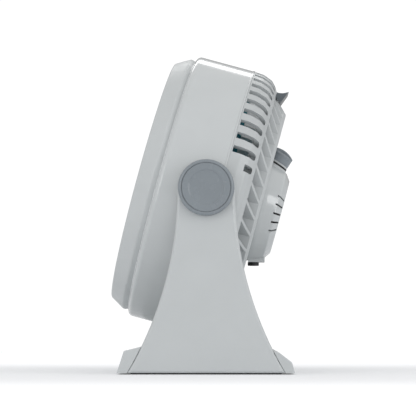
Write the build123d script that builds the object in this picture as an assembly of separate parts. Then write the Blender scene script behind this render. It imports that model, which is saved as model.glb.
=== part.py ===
from build123d import *
import os
from math import cos, degrees, hypot, radians, sin, sqrt

os.makedirs("parts", exist_ok=True)

# A drum-shaped desk fan whose head tilts between two legs on a base. Millimetres and degrees.
# +Z is up, the front faces -Y, X runs across, and the origin is on the ground under the tilt axis.
# The head is drawn upright with its axis along Y, and is tilted back by rest_tilt when it is written.
# Along the head's axis, u is the distance rearwards from the tilt axis.

# ---- Driving dimensions ----
rest_tilt = 15.3

# Head shells
drum_radius = 150.0
drum_front = -52.0
drum_rear = 14.0
shell_wall = 2.5
lap_gap = 0.2
drum_lip_fillet = 5.5
bead_height = 0.6
bead_width = 2.0

bezel_depth = 22.5
bezel_seam_drop = 7.0
bezel_shoulder_drop = 5.0
bezel_rim_drop = 14.6
bezel_shoulder_back = 6.0
bezel_lip_width = 10.0
bezel_lip_thickness = 5.0
hook_count = 8
shell_boss_radius = 3.7

# Front grille
grille_flange = 7.5
grille_plate = 2.5
front_blade_depth = 5.0
front_dome_height = 7.0
front_hub_radius = 38.0
front_ring_radius = 80.0
front_ring_width = 2.5
front_rim_width = 5.0
front_inner_blades = 32
front_outer_blades = 48
front_blade = 1.8
front_swirl = -0.45
badge_radius = 30.0
badge_thickness = 1.8

# Rear grille
side_wall = 5.0
slot_count = 56
slot_width = 7.8
slot_end_fillet = 2.5
slot_length = 25.5
short_slot_length = 9.0
wall_curve = ((10.8, 0.7), (21.2, 4.7), (26.2, 10.3))
crest_drop = 16.4
cone_depth = 29.7
back_depth = 16.3
cone_slope_drop = 21.4
blade_depth = 10.0
blade_count = 40
blade_width = 2.2
blade_recess = 1.2
cone_swirl = 0.6
back_swirl = 0.5
ring_width = 5.0
hub_ring_width = 4.4

# Motor cover and its bosses
cover_margin = 18.5
cover_shoulder_drop = 6.5
cover_back_drop = 15.0
cover_depth = 23.4
cover_shoulder_back = 5.9
cover_skirt = 7.4
cover_gap = 0.5
vent_count = 5
vent_pitch = 11.5
vent_reach = 8.6
vent_width = 2.0
cover_post_radius = 4.0
pad_tilt = 17.3
pad_centre_u = 62.0
pad_drop = 2.9
pad_half_width = 17.5
pad_front = 16.0
pad_depth = 12.5
pad_gap = 0.6
collar_height = 2.2
collar_radius = 14.6
pocket_side = 26.0
pocket_front = 19.5
pocket_top = 30.0

# Controls and cord inlet
knob_radius = 14.0
knob_body_height = 10.8
knob_edge_fillet = 2.5
knob_grip_height = 4.3
knob_grip_width = 6.0
knob_ring_height = 2.0
knob_trim_height = 1.9
spindle_reach = 6.5
spindle_radius = 3.0
switch_size = 20.0
switch_height = 10.0
gland_radius = 6.25
gland_stand = 3.9
gland_hole_radius = 3.6
gland_centre_u = 68.0
gland_boss_side = 10.5
gland_boss_rear = 12.5
gland_boss_front = 5.9
gland_boss_depth = 14.0
gland_neck = 5.0

# Carry grip
grip_width = 52.0
grip_rise = 4.1
grip_reach = 13.4
grip_hook = (5.1, 13.5)
grip_scoop_depth = 1.4
grip_edge_fillet = 2.5

# Impeller
tip_gap = 20.5
blade_rear = 17.0
blade_tip_depth = 35.0
blade_root_depth = 38.0
blade_tip_pitch = 25.0
blade_root_pitch = 48.0
blade_camber = 5.0
blade_thickness = 2.4
impeller_blades = 5
impeller_hub_radius = 38.0
hub_front = -22.0
hub_wall = 2.5

# Motor
motor_radius = 38.0
motor_front = 26.7
bracket_depth = 9.3
bracket_wall = 2.8
core_length = 18.0
shaft_radius = 4.0
running_gap = 0.05
bearing_radius = 6.0
bearing_length = 8.0
fit_gap = 0.02
rotor_radius = 22.7
air_gap = 0.5
coil_inner = 25.5
coil_outer = 29.5
coil_rods = 12
coil_side_radius = 1.9
coil_overhang = 5.0
motor_bolt_circle = 33.0

# Tilt joint
boss_radius = 13.0
boss_depth = 17.0
pad_radius = 20.0
pad_stand = 1.3
stud_radius = 4.0
insert_radius = 6.5
washer_thickness = 1.5
washer_gap = 0.2
bush_radius = 7.0
knob_disc_radius = 29.5
knob_disc_height = 10.0
knob_disc_gap = 0.3
knob_disc_chamfer = 1.6
disc_cap_radius = 20.0
disc_cap_depth = 1.2

# Stand
leg_thickness = 15.0
leg_top_radius = 29.8
leg_flare_radius = 380.0
leg_wall = 2.8
leg_edge_fillet = 3.0
liner_thickness = 2.0
hub_radius = 15.0
base_middle_height = 18.0
sweep_clearance = 16.9
base_wall = 3.0
front_foot_reach = 10.0
front_foot_height = 24.4
front_foot_slope = 7.3
front_crest_height = 29.0
rear_foot_reach = 9.1
rear_foot_height = 12.6
rear_foot_slope = 3.1
rear_crest_height = 24.4
rear_crest_run = 6.0
rear_crest_fall = 1.6
bar_inner_slope = 16.0
foot_inset = 1.5
rubber_height = 1.5
rubber_groove = 0.8
rubber_width = 8.0
rubber_inset = 4.0
plate_thickness = 2.0
plate_inset = 9.0
plate_gap = 0.3
tenon_length = 22.0
tenon_half_width = 40.0
tenon_span = (6.0, 11.0)
leg_solid_height = 22.0

# Screws
screw_radius = 1.7
screw_head_radius = 3.2
screw_head_height = 2.2
screw_gap = 0.05
hole_gap = 0.2
sink_gap = 0.3

# ---- Derived places ----
bezel_front = drum_front - bezel_depth
bezel_seam_radius = drum_radius - bezel_seam_drop
bezel_rim_radius = drum_radius - bezel_rim_drop
bezel_mouth_radius = bezel_rim_radius - bezel_lip_width
seam_radius = drum_radius - side_wall
cone_rear = drum_rear + cone_depth
back_plane = cone_rear + back_depth
crest_radius = drum_radius - crest_drop
corner_radius = crest_radius - cone_slope_drop
rotor_tip_radius = drum_radius - tip_gap
cover_radius = motor_radius + cover_margin
cover_shoulder_radius = cover_radius - cover_shoulder_drop
cover_back_radius = cover_radius - cover_back_drop
cover_back = back_plane + cover_depth
cover_front = back_plane - cover_skirt
hub_ring_inner = cover_radius + cover_gap
hub_ring_outer = hub_ring_inner + hub_ring_width
core_front = motor_front + bracket_depth
core_rear = core_front + core_length
motor_rear = core_rear + bracket_depth
leg_inner = drum_radius + pad_stand + washer_thickness + washer_gap
leg_outer = leg_inner + leg_thickness
sweep_radius = hypot(drum_radius, -drum_front)
pivot_height = base_middle_height + sweep_clearance + sweep_radius
leg_bottom = rubber_height
slot_pitch = 360 / slot_count
clear_hole = screw_radius + hole_gap
pilot_hole = screw_radius + screw_gap
knob_base = collar_height + knob_ring_height + knob_trim_height
cover_screw_seat = cover_back - screw_head_height - 0.4
disc_back = leg_outer + knob_disc_gap
disc_face = disc_back + knob_disc_height


def leg_half_width(height):
    """Half the leg's width at a height above the ground, which grows along one arc from the pivot down."""
    flare = leg_flare_radius - sqrt(leg_flare_radius**2 - (pivot_height - height) ** 2)
    return leg_top_radius + flare


# ---- Drawing helpers ----
def lathe(*corners):
    """Turn a closed outline about the head's axis; a corner is (u, radius) or (u, radius, fillet)."""
    points = [(corner[1], corner[0]) for corner in corners]
    fillets = [corner[2] if len(corner) > 2 else 0 for corner in corners]
    return revolve(make_face(FilletPolyline(*points, radius=fillets, close=True)), Axis.Y)


def block(x_span, y_span, z_span):
    """A box between two limits on each axis."""
    size = [span[1] - span[0] for span in (x_span, y_span, z_span)]
    centre = [sum(span) / 2 for span in (x_span, y_span, z_span)]
    return Pos(*centre) * Box(*size)


def rod_y(radius, u_span, x=0.0, z=0.0):
    """A cylinder along the head's axis."""
    return Pos(x, sum(u_span) / 2, z) * Rot(90, 0, 0) * Cylinder(radius, u_span[1] - u_span[0])


def rod_x(radius, x_span, y=0.0, z=0.0):
    """A cylinder across the fan."""
    return Pos(sum(x_span) / 2, y, z) * Rot(0, 90, 0) * Cylinder(radius, x_span[1] - x_span[0])


def rod_z(radius, z_span, x=0.0, y=0.0):
    """An upright cylinder."""
    return Pos(x, y, sum(z_span) / 2) * Cylinder(radius, z_span[1] - z_span[0])


def polar(radius, angle):
    """The (x, z) point at a radius and an angle that starts at +X and turns towards +Z."""
    return (radius * cos(radians(angle)), radius * sin(radians(angle)))


def around(shape, angle):
    """Turn a head piece about the head's axis, from +X towards +Z."""
    return Rot(0, -angle, 0) * shape


def slab(face, u_span):
    """Extrude a flat (x, z) outline along the head's axis."""
    return extrude(Plane.XZ.offset(-u_span[1]) * face, amount=u_span[1] - u_span[0])


def side_slab(face, x_span):
    """Extrude a flat (y, z) outline across the fan."""
    return extrude(Plane.YZ.offset(x_span[0]) * face, amount=x_span[1] - x_span[0])


def swirl_gaps(count, inner, outer, blade, rate, u_span):
    """The gaps between swirled blades in one ring; rate is degrees of turn per millimetre outwards."""
    pitch = 360 / count

    def edge(radius, side):
        lean = hypot(1, radians(rate) * radius)
        return rate * (radius - outer) + side * degrees(blade / 2 * lean / radius)

    stations = (inner, (inner + outer) / 2, outer)
    near = [polar(radius, edge(radius, 1)) for radius in stations]
    far = [polar(radius, pitch + edge(radius, -1)) for radius in stations]
    inner_middle = polar(inner, (edge(inner, 1) + pitch + edge(inner, -1)) / 2)
    outer_middle = polar(outer, (edge(outer, 1) + pitch + edge(outer, -1)) / 2)
    outline = [
        ThreePointArc(*near),
        ThreePointArc(near[2], outer_middle, far[2]),
        ThreePointArc(far[2], far[1], far[0]),
        ThreePointArc(far[0], inner_middle, near[0]),
    ]
    gap = slab(make_face(Curve() + outline), u_span)
    return [around(gap, index * pitch) for index in range(count)]


def screw(length, radius=screw_radius):
    """A cross-recessed screw along -Z whose head stands on the XY plane."""
    head = Pos(0, 0, screw_head_height / 2) * Cylinder(screw_head_radius, screw_head_height)
    head = fillet(head.edges().sort_by(Axis.Z)[-1], screw_head_height / 3)
    shank = Pos(0, 0, -length / 2) * Cylinder(radius, length)
    recess = Box(screw_head_radius * 1.2, 0.8, 2) + Box(0.8, screw_head_radius * 1.2, 2)
    return head + shank - Pos(0, 0, screw_head_height) * recess


def screw_y(length, facing, u, x, z):
    """A screw along the head's axis; facing is +1 when its head looks rearwards."""
    return Pos(x, u, z) * Rot(-90 * facing, 0, 0) * screw(length)


def ring_places(count, radius, first):
    """The (x, z) points of an even ring."""
    return [polar(radius, first + index * 360 / count) for index in range(count)]


# ---- Head shells ----
hook_tongue_inner = bezel_seam_radius - shell_wall - lap_gap - shell_wall
hook_tongue_outer = hook_tongue_inner + shell_wall
grille_screw_radius = bezel_rim_radius - bezel_lip_width / 2
lip_back = bezel_front + bezel_lip_thickness
bezel_screws = ring_places(6, grille_screw_radius, 0)
shell_screw_radius = seam_radius - 3.0
shell_screws = ring_places(8, shell_screw_radius, slot_pitch / 2 + 3 * slot_pitch)
shell_flange = (drum_rear - 5.5, drum_rear - 2.7)
tongue_inner = seam_radius - 1.5
motor_bolts = ring_places(4, motor_bolt_circle, 0)
cover_bolts = ring_places(4, motor_bolt_circle, 45)
tub_nose = motor_radius + 4.5
tub_seat = hub_ring_inner - 4
nose_radius = bearing_radius + 2.5


def front_bezel():
    shoulder = drum_radius - bezel_shoulder_drop
    shoulder_u = drum_front - bezel_shoulder_back
    ring = lathe(
        (bezel_front, bezel_mouth_radius, 1.5),
        (bezel_front, bezel_rim_radius, 3),
        (shoulder_u, shoulder, 3.5),
        (drum_front, bezel_seam_radius),
        (drum_front, hook_tongue_outer),
        (drum_front + 10, hook_tongue_outer),
        (drum_front + 10, hook_tongue_inner),
        (shoulder_u, hook_tongue_inner),
        (lip_back, bezel_rim_radius - shell_wall / 2),
        (lip_back, bezel_mouth_radius),
    )
    lip_catch = block(
        (hook_tongue_outer - 0.5, hook_tongue_outer + shell_wall),
        (drum_front + shell_wall + 1.2, drum_front + shell_wall + 4),
        (-6, 6),
    )
    hooks = [around(lip_catch, 360 / hook_count * (index + 0.5)) for index in range(hook_count)]
    pilots = [rod_y(pilot_hole, (lip_back - 4, lip_back + 1), *place) for place in bezel_screws]
    return ring + hooks - pilots


def front_grille():
    rim_u = lip_back + 1
    outer = bezel_mouth_radius - 0.6
    crown = rim_u - front_dome_height
    front_sphere = [(outer, rim_u), (outer * 0.52, rim_u - front_dome_height * 0.73), (0, crown)]
    back_sphere = [(x, u + front_blade_depth) for x, u in front_sphere]
    outline = [
        ThreePointArc(*front_sphere),
        Line(front_sphere[2], back_sphere[2]),
        ThreePointArc(back_sphere[2], back_sphere[1], back_sphere[0]),
        Line(back_sphere[0], front_sphere[0]),
    ]
    dome = revolve(make_face(Curve() + outline), Axis.Y)
    flange = lathe(
        (lip_back, outer - front_rim_width),
        (lip_back, grille_screw_radius + grille_flange / 2),
        (lip_back + grille_plate, grille_screw_radius + grille_flange / 2),
        (lip_back + grille_plate, outer - front_rim_width),
    )
    reach = (crown - 5, rim_u + front_blade_depth + 5)
    inner = swirl_gaps(
        front_inner_blades, front_hub_radius, front_ring_radius, front_blade, front_swirl, reach
    )
    outer_gaps = swirl_gaps(
        front_outer_blades,
        front_ring_radius + front_ring_width,
        outer - front_rim_width,
        front_blade,
        front_swirl,
        reach,
    )
    holes = [rod_y(clear_hole, (lip_back - 1, lip_back + 5), *place) for place in bezel_screws]
    badge_seat = rod_y(badge_radius + lap_gap, (crown - 2, badge_back()))
    return dome + flange - inner - outer_gaps - holes - badge_seat


def badge_back():
    """The bottom of the badge's seat in the front grille."""
    return lip_back + 1 - front_dome_height + badge_thickness


def grille_badge():
    front = badge_back() - badge_thickness
    return lathe((front, 0), (front, badge_radius, 0.8), (badge_back(), badge_radius), (badge_back(), 0))


def grille_screws():
    return Compound([screw_y(5.5, 1, lip_back + grille_plate, *place) for place in bezel_screws])


def pivot_boss(side):
    """The boss, outer pad and insert bore of one pivot, as what is added and what is cut."""
    inner_end = drum_radius - boss_depth
    boss = rod_x(boss_radius, sorted((side * inner_end, side * (drum_radius - 1))))
    pad = rod_x(pad_radius, sorted((side * (drum_radius - 6), side * (drum_radius + pad_stand))))
    across = 2 * drum_radius
    front_part = block((-across, across), (drum_front, shell_flange[1]), (-pad_radius, pad_radius))
    bore = rod_x(insert_radius + fit_gap, sorted((side * (inner_end + 1), side * (drum_radius + 5))))
    return (boss + pad) & front_part, bore


def mid_housing():
    inner = drum_radius - shell_wall
    shell = lathe(
        (drum_front, bezel_seam_radius + 0.4),
        (drum_front, drum_radius, drum_lip_fillet),
        (drum_rear - bead_width, drum_radius),
        (drum_rear - bead_width, drum_radius + bead_height, 0.4),
        (drum_rear, drum_radius + bead_height, 0.4),
        (drum_rear, inner),
        (shell_flange[1], inner),
        (shell_flange[1], shell_screw_radius - 5),
        (shell_flange[0], shell_screw_radius - 5),
        (shell_flange[0], inner),
        (drum_front + shell_wall, inner, 3),
        (drum_front + shell_wall, bezel_seam_radius + 0.4),
    )
    for side in (1, -1):
        added, cut = pivot_boss(side)
        shell = shell + added - cut
    reach = (shell_flange[0] - 1, shell_flange[1] + 1)
    return shell - [rod_y(clear_hole, reach, *place) for place in shell_screws]


def shell_screw_group():
    return Compound([screw_y(16, -1, shell_flange[0], *place) for place in shell_screws])


def side_slots():
    """The cuts of the slotted side wall: full slots, short ones beside each pivot, none on it."""
    cuts = []
    depth = (drum_radius - 32, drum_radius + 5)
    slot_front = drum_rear + 1.5
    slot_rear = slot_front + slot_length
    half = slot_width / 2
    beside_pivot = {2, slot_count // 2 - 2, slot_count // 2 + 2, slot_count - 2}
    on_pivot = {0, 1, slot_count // 2 - 1, slot_count // 2, slot_count // 2 + 1, slot_count - 1}
    for index in range(slot_count):
        if index in on_pivot:
            continue
        front = slot_rear - short_slot_length if index in beside_pivot else slot_front
        outline = Pos((front + slot_rear) / 2, 0) * Rectangle(slot_rear - front, 2 * half)
        outline = fillet(outline.vertices().sort_by(Axis.X)[-2:], slot_end_fillet)
        cuts.append(around(side_slab(outline, depth), index * slot_pitch))
    return cuts


pad_plane = Plane(
    origin=(0, pad_centre_u, cover_radius - pad_drop),
    x_dir=(1, 0, 0),
    z_dir=(0, sin(radians(pad_tilt)), cos(radians(pad_tilt))),
)


def on_pad(shape):
    """Place a shape drawn with its XY plane on the sloping control pad."""
    return pad_plane.location * shape


def control_box(margin):
    """The box under the control pad that carries the switch, grown by a margin."""
    side = pad_half_width + margin
    return on_pad(block((-side, side), (-pad_front - margin, pad_front - 1), (-pad_depth - margin, 0)))


def knob_pocket(margin):
    """The finger space round the speed knob, open rearwards, grown by a margin for its liner."""
    side = pocket_side + margin
    height = (pad_gap - margin, pocket_top + margin)
    return on_pad(block((-side, side), (-pocket_front - margin, 60), height))


def slotted_wall():
    """The side wall of the rear grille with its rim ring."""
    outer = [(drum_rear + back, drum_radius - drop) for back, drop in wall_curve]
    wall = lathe(
        (drum_rear, drum_radius, 0.4),
        (outer[0][0], outer[0][1], 12),
        (outer[1][0], outer[1][1], 8),
        (outer[2][0], outer[2][1], 5),
        (cone_rear, crest_radius, 0.8),
        (cone_rear - 0.6, crest_radius - ring_width),
        (cone_rear - blade_depth, crest_radius - ring_width),
        (outer[1][0], outer[1][1] - side_wall, 6),
        (outer[0][0], outer[0][1] - side_wall, 8),
        (drum_rear, seam_radius),
    )
    return wall - side_slots()


def swirled_cone():
    """The swirled blades of the cone and of the flat back, with their rings."""
    cone = lathe(
        (cone_rear - blade_recess, crest_radius - ring_width + 1),
        (back_plane - 0.4, corner_radius + 0.6, 0.6),
        (back_plane, corner_radius - 1, 0.4),
        (back_plane, hub_ring_inner),
        (back_plane - blade_depth, hub_ring_inner),
        (back_plane - blade_depth, corner_radius - 6),
        (cone_rear - blade_recess - blade_depth, crest_radius - ring_width + 1),
    )
    reach = (drum_rear, back_plane + 5)
    blade_start = crest_radius - ring_width - 0.5
    cone_gaps = swirl_gaps(blade_count, corner_radius + 3, blade_start, blade_width, cone_swirl, reach)
    back_gaps = swirl_gaps(blade_count, hub_ring_outer, corner_radius - 3, blade_width, back_swirl, reach)
    back_start = -cone_swirl * (blade_start - corner_radius + 3)
    return cone - (cone_gaps + [around(gap, back_start) for gap in back_gaps])


def rear_grille():
    tub_front = motor_front - shell_wall
    bolts = [rod_y(clear_hole, (tub_front - 1, motor_front + 1), *place) for place in motor_bolts]
    nose = rod_y(nose_radius + 0.3, (tub_front - 1, motor_front + 1))
    box_space = on_pad(
        block(
            (-pad_half_width - pad_gap, pad_half_width + pad_gap),
            (-pad_front - pad_gap, 60),
            (-pad_depth - pad_gap, pad_gap + 1),
        )
    )
    cuts = [tub_space(), knob_pocket(0), box_space]
    liner = knob_pocket(shell_wall) & rod_y(corner_radius - 2, (drum_rear + 15, back_plane))
    tongue = lathe(
        (shell_flange[1] + lap_gap, tongue_inner),
        (shell_flange[1] + lap_gap, drum_radius - shell_wall - lap_gap),
        (drum_rear + 1, drum_radius - shell_wall - lap_gap),
        (drum_rear + 1, tongue_inner),
    )
    pieces = [tongue, swirled_cone() - cuts, motor_tub() - cuts - bolts - nose, liner - cuts]
    for place in shell_screws:
        pieces.append(rod_y(shell_boss_radius, (shell_flange[1] + lap_gap, drum_rear + 16), *place))
    grille = slotted_wall() + pieces
    reach = (shell_flange[1] - 1, drum_rear + 14)
    return grille - [rod_y(pilot_hole, reach, *place) for place in shell_screws]


def motor_tub():
    """The tub in the middle of the rear grille that holds the motor, before it is hollowed."""
    front = motor_front - shell_wall
    return lathe(
        (front, 0),
        (front, tub_nose + shell_wall, 3),
        (cover_front - shell_wall, tub_seat + shell_wall),
        (cover_front - shell_wall, hub_ring_outer + 0.5),
        (back_plane, hub_ring_outer + 0.5),
        (back_plane, 0),
    )


def tub_space():
    """The space of the motor and of its cover's skirt inside the tub."""
    return lathe(
        (motor_front, 0),
        (motor_front, tub_nose),
        (cover_front, tub_seat),
        (cover_front, hub_ring_inner),
        (back_plane + 10, hub_ring_inner),
        (back_plane + 10, 0),
    )


def carry_grip():
    """The hooked fin at the top of the back, resting on the rear grille's cone."""
    top = (cone_rear - 0.8, crest_radius - 1)
    tip = (top[0] + grip_reach, top[1] + grip_rise)
    dip = ((top[0] + tip[0]) / 2, (top[1] + tip[1]) / 2 - grip_scoop_depth)
    foot = (tip[0] - grip_hook[0], tip[1] - grip_hook[1])
    root = (cone_rear - 6, crest_radius - 12)
    outline = [ThreePointArc(top, dip, tip), Line(tip, foot), Line(foot, root), Line(root, top)]
    fin = side_slab(make_face(Curve() + outline), (-grip_width / 2, grip_width / 2))
    fin = fillet(fin.faces().filter_by(Axis.X).edges().filter_by(GeomType.CIRCLE), grip_edge_fillet)
    seat = lathe(
        (drum_rear, 0),
        (drum_rear, drum_radius - wall_curve[2][1]),
        (drum_rear + wall_curve[2][0], drum_radius - wall_curve[2][1]),
        (cone_rear, crest_radius),
        (cone_rear, crest_radius - ring_width + 1),
        (back_plane, corner_radius + 0.8),
        (back_plane, 0),
    )
    return fin - seat


# ---- Motor cover ----
gland_plane = Plane(
    origin=(0, gland_centre_u, -cover_radius + 0.1),
    x_dir=(1, 0, 0),
    z_dir=(0, sin(radians(rest_tilt)), -cos(radians(rest_tilt))),
)


def gland_box(margin):
    """The boss under the motor cover that carries the cord inlet; a negative margin gives its inside."""
    side = gland_boss_side + margin
    span = (-gland_boss_rear - margin, gland_boss_front + margin)
    box = block((-side, side), span, (-gland_boss_depth, min(margin, 0)))
    return gland_plane.location * box


def motor_cover():
    shoulder_u = cover_back - cover_shoulder_back
    inner_back = cover_back - shell_wall
    shell = lathe(
        (cover_front, 0),
        (cover_front, cover_radius),
        (back_plane, cover_radius),
        (shoulder_u, cover_shoulder_radius, 5),
        (cover_back, cover_back_radius, 3),
        (cover_back, 0),
    )
    above_pad = on_pad(block((-pad_half_width, pad_half_width), (-60, 60), (0, 60)))
    shell = shell - above_pad
    shell = shell + control_box(0) + gland_box(0)
    shell = shell + on_pad(rod_z(collar_radius, (-1, collar_height)))
    space = lathe(
        (cover_front - 5, 0),
        (cover_front - 5, cover_radius - shell_wall),
        (back_plane, cover_radius - shell_wall),
        (shoulder_u - 1, cover_shoulder_radius - shell_wall, 4),
        (inner_back, cover_back_radius - shell_wall, 2),
        (inner_back, 0),
    )
    space = space - on_pad(block((-pad_half_width, pad_half_width), (-60, 60), (-shell_wall, 60)))
    side = pad_half_width - shell_wall
    switch_space = on_pad(
        block((-side, side), (-pad_front + shell_wall, pad_front - 1), (-pad_depth - 5, -shell_wall))
    )
    cover = shell - space - switch_space - gland_box(-shell_wall)
    cuts = [on_pad(rod_z(spindle_radius + 0.4, (-shell_wall - 1, collar_height + 1)))]
    cuts.append(gland_plane.location * rod_z(gland_neck + fit_gap, (-shell_wall - 1, 1)))
    cuts.append(gland_plane.location * rod_z(gland_neck + 0.9, (-shell_wall - 2, -shell_wall)))
    for place in cover_bolts:
        cover = cover + rod_y(cover_post_radius, (motor_rear, inner_back + 1), *place)
        cuts.append(rod_y(clear_hole, (motor_rear - 1, cover_back + 1), *place))
        cuts.append(rod_y(screw_head_radius + sink_gap, (cover_screw_seat, cover_back + 1), *place))
    vent = block(
        (cover_back_radius - 4, cover_radius + 5),
        (cover_back - vent_reach, cover_back - 0.5),
        (-vent_width / 2, vent_width / 2),
    )
    for side_angle in (0, 180):
        for index in range(vent_count):
            cuts.append(around(vent, side_angle + (index - (vent_count - 1) / 2) * vent_pitch))
    return cover - cuts


def cover_screws():
    length = cover_screw_seat - motor_rear + 5
    return Compound([screw_y(length, 1, cover_screw_seat, *place) for place in cover_bolts])


def cord_gland():
    bush = rod_z(gland_radius, (0, gland_stand))
    bush = fillet(bush.edges().group_by(Axis.Z)[-1], 0.8)
    bush = bush + rod_z(gland_neck, (-shell_wall - 0.2, 0.5))
    bush = bush + rod_z(gland_neck + 0.8, (-shell_wall - 1.8, -shell_wall - 0.2))
    return gland_plane.location * (bush - rod_z(gland_hole_radius, (-10, 10)))


# ---- Speed control ----
def speed_knob():
    top = knob_base + knob_body_height
    crest = top + knob_grip_height
    body = rod_z(knob_radius, (knob_base, top))
    body = fillet(body.edges().group_by(Axis.Z)[-1], knob_edge_fillet)
    half = knob_grip_width / 2
    arch_radius = (knob_radius**2 + knob_grip_height**2) / (2 * knob_grip_height)
    grip = block((-half, half), (-knob_radius, knob_radius), (top - knob_edge_fillet, crest + 1))
    grip = grip & rod_x(arch_radius, (-half, half), 0, crest - arch_radius)
    grip = fillet(grip.edges().filter_by(GeomType.CIRCLE), 1.0)
    bore = rod_z(spindle_radius + fit_gap, (knob_base - 1, knob_base + spindle_reach + 0.5))
    return on_pad(body + grip - bore)


def knob_trim():
    """The pale trim ring under the speed knob, which turns with it."""
    ring = rod_z(knob_radius - 0.2, (knob_base - knob_trim_height, knob_base))
    return on_pad(ring - rod_z(spindle_radius + fit_gap, (0, 20)))


def knob_ring():
    ring = rod_z(knob_radius + 0.3, (collar_height + 0.2, collar_height + knob_ring_height))
    return on_pad(ring - rod_z(spindle_radius + fit_gap, (0, 10)))


def switch_spindle():
    top = knob_base + spindle_reach
    bottom = -shell_wall - switch_height + 2
    flat = block((spindle_radius - 0.8, spindle_radius + 1), (-5, 5), (top - 5, top + 1))
    return on_pad(rod_z(spindle_radius, (bottom, top)) - flat)


def speed_switch():
    half = switch_size / 2
    body = block((-half, half), (-half, half), (-shell_wall - switch_height, -shell_wall))
    well = rod_z(spindle_radius + running_gap, (-shell_wall - switch_height + 1.5, 0))
    tag_height = -shell_wall - switch_height + 3
    tag = block((-1.2, 1.2), (half - 0.5, half + 4), (tag_height, tag_height + 1))
    return on_pad(body + [Pos(x, 0, 0) * tag for x in (-6, -2, 2, 6)] - well)


# ---- Motor ----
def motor_bracket(plate_u, core_u, core_side):
    """A cupped end bracket between an outer plate and the stator core."""
    low, high = sorted((plate_u, core_u))
    cup = rod_y(motor_radius, (low, high))
    wall_end = plate_u + core_side * bracket_wall
    hollow = rod_y(motor_radius - bracket_wall, sorted((wall_end, core_u + core_side)))
    bearing_end = plate_u + core_side * bearing_length
    hub = rod_y(nose_radius, sorted((plate_u, bearing_end)))
    seat = rod_y(bearing_radius + fit_gap, (low - 5, high + 5))
    holes = [rod_y(clear_hole, (low - 5, high + 5), *place) for place in motor_bolts]
    window = block((18, 26), sorted((plate_u - core_side, wall_end + core_side)), (-5, 5))
    windows = [around(window, 45 + 90 * index) for index in range(4)]
    return cup - hollow + hub - seat - holes - windows


def motor_front_bracket():
    return motor_bracket(motor_front, core_front, 1)


def motor_rear_bracket():
    bracket = motor_bracket(motor_rear, core_rear, -1)
    lugs = [rod_y(3.2, (motor_rear - 6, motor_rear), *place) for place in cover_bolts]
    pilots = [rod_y(pilot_hole, (motor_rear - 7, motor_rear + 1), *place) for place in cover_bolts]
    return bracket + lugs - pilots


def coil_places():
    """The (x, z) places of the coil sides in the stator's slots."""
    return ring_places(coil_rods, (coil_inner + coil_outer) / 2, 15)


def stator_core():
    reach = (core_front - 1, core_rear + 1)
    core = rod_y(motor_radius, (core_front, core_rear)) - rod_y(rotor_radius + air_gap, reach)
    slots = [rod_y(coil_side_radius + hole_gap, reach, *place) for place in coil_places()]
    bolts = [rod_y(clear_hole, reach, *place) for place in motor_bolts]
    return core - slots - bolts


def stator_coils():
    coils = [rod_y(coil_side_radius, (core_front - 1, core_rear + 1), *place) for place in coil_places()]
    spans = ((core_front - coil_overhang, core_front - 0.3), (core_rear + 0.3, core_rear + coil_overhang))
    ends = [rod_y(coil_outer, span) - rod_y(coil_inner, span) for span in spans]
    return ends[0] + ends[1] + coils


def motor_screws():
    length = motor_rear - motor_front + shell_wall
    return Compound([screw_y(length, -1, motor_front - shell_wall, *place) for place in motor_bolts])


def sleeve_bearing(plate_u, core_side):
    span = sorted((plate_u + core_side * 0.2, plate_u + core_side * bearing_length))
    bush = rod_y(bearing_radius, span)
    return bush - rod_y(shaft_radius + running_gap, (span[0] - 1, span[1] + 1))


def run_capacitor():
    back = cover_back - shell_wall
    can = block((-17, 17), (back - 14, back), (-31, -9))
    return fillet(can.edges().filter_by(Axis.Y), 3)


def terminal_block():
    back = cover_back - shell_wall
    body = block((-16, 8), (back - 9, back), (4, 14))
    wells = [rod_y(1.6, (back - 10, back - 3), x, 9) for x in (-12, -4, 4)]
    return body - wells


# ---- Rotor ----
def motor_shaft():
    shaft = rod_y(shaft_radius, (hub_front - 8, motor_rear - 1))
    return chamfer(shaft.edges().filter_by(GeomType.CIRCLE), 0.5)


def rotor_core():
    core = rod_y(rotor_radius, (core_front + 0.5, core_rear - 0.5))
    rings = [rod_y(rotor_radius - 1.5, span) for span in (
        (core_front - 0.5, core_front + 1), (core_rear - 1, core_rear + 0.5)
    )]
    bore = rod_y(shaft_radius + fit_gap, (core_front - 5, core_rear + 5))
    holes = [rod_y(2, (core_front - 5, core_rear + 5), *place) for place in ring_places(6, 13, 0)]
    return core + rings - bore - holes


def impeller_blade():
    sections = []
    middle_radius = (impeller_hub_radius + rotor_tip_radius) / 2
    middle_depth = (blade_root_depth + blade_tip_depth) / 2
    stations = (
        (impeller_hub_radius - 8, blade_root_depth, blade_root_pitch),
        (middle_radius, middle_depth, blade_tip_pitch + (blade_root_pitch - blade_tip_pitch) * 0.3),
        (rotor_tip_radius + 3, blade_tip_depth, blade_tip_pitch),
    )
    for radius, depth, pitch in stations:
        chord = depth / sin(radians(pitch))
        edge = blade_thickness / 4
        half = chord / 2
        plane = Plane(
            origin=(radius, blade_rear - depth / 2, 0),
            x_dir=(0, sin(radians(pitch)), cos(radians(pitch))),
            z_dir=(1, 0, 0),
        )
        outline = [
            ThreePointArc((-half, edge), (0, blade_camber + blade_thickness / 2), (half, edge)),
            Line((half, edge), (half, -edge)),
            ThreePointArc((half, -edge), (0, blade_camber - blade_thickness / 2), (-half, -edge)),
            Line((-half, -edge), (-half, edge)),
        ]
        sections.append(plane * make_face(Curve() + outline))
    return loft(sections)


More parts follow.
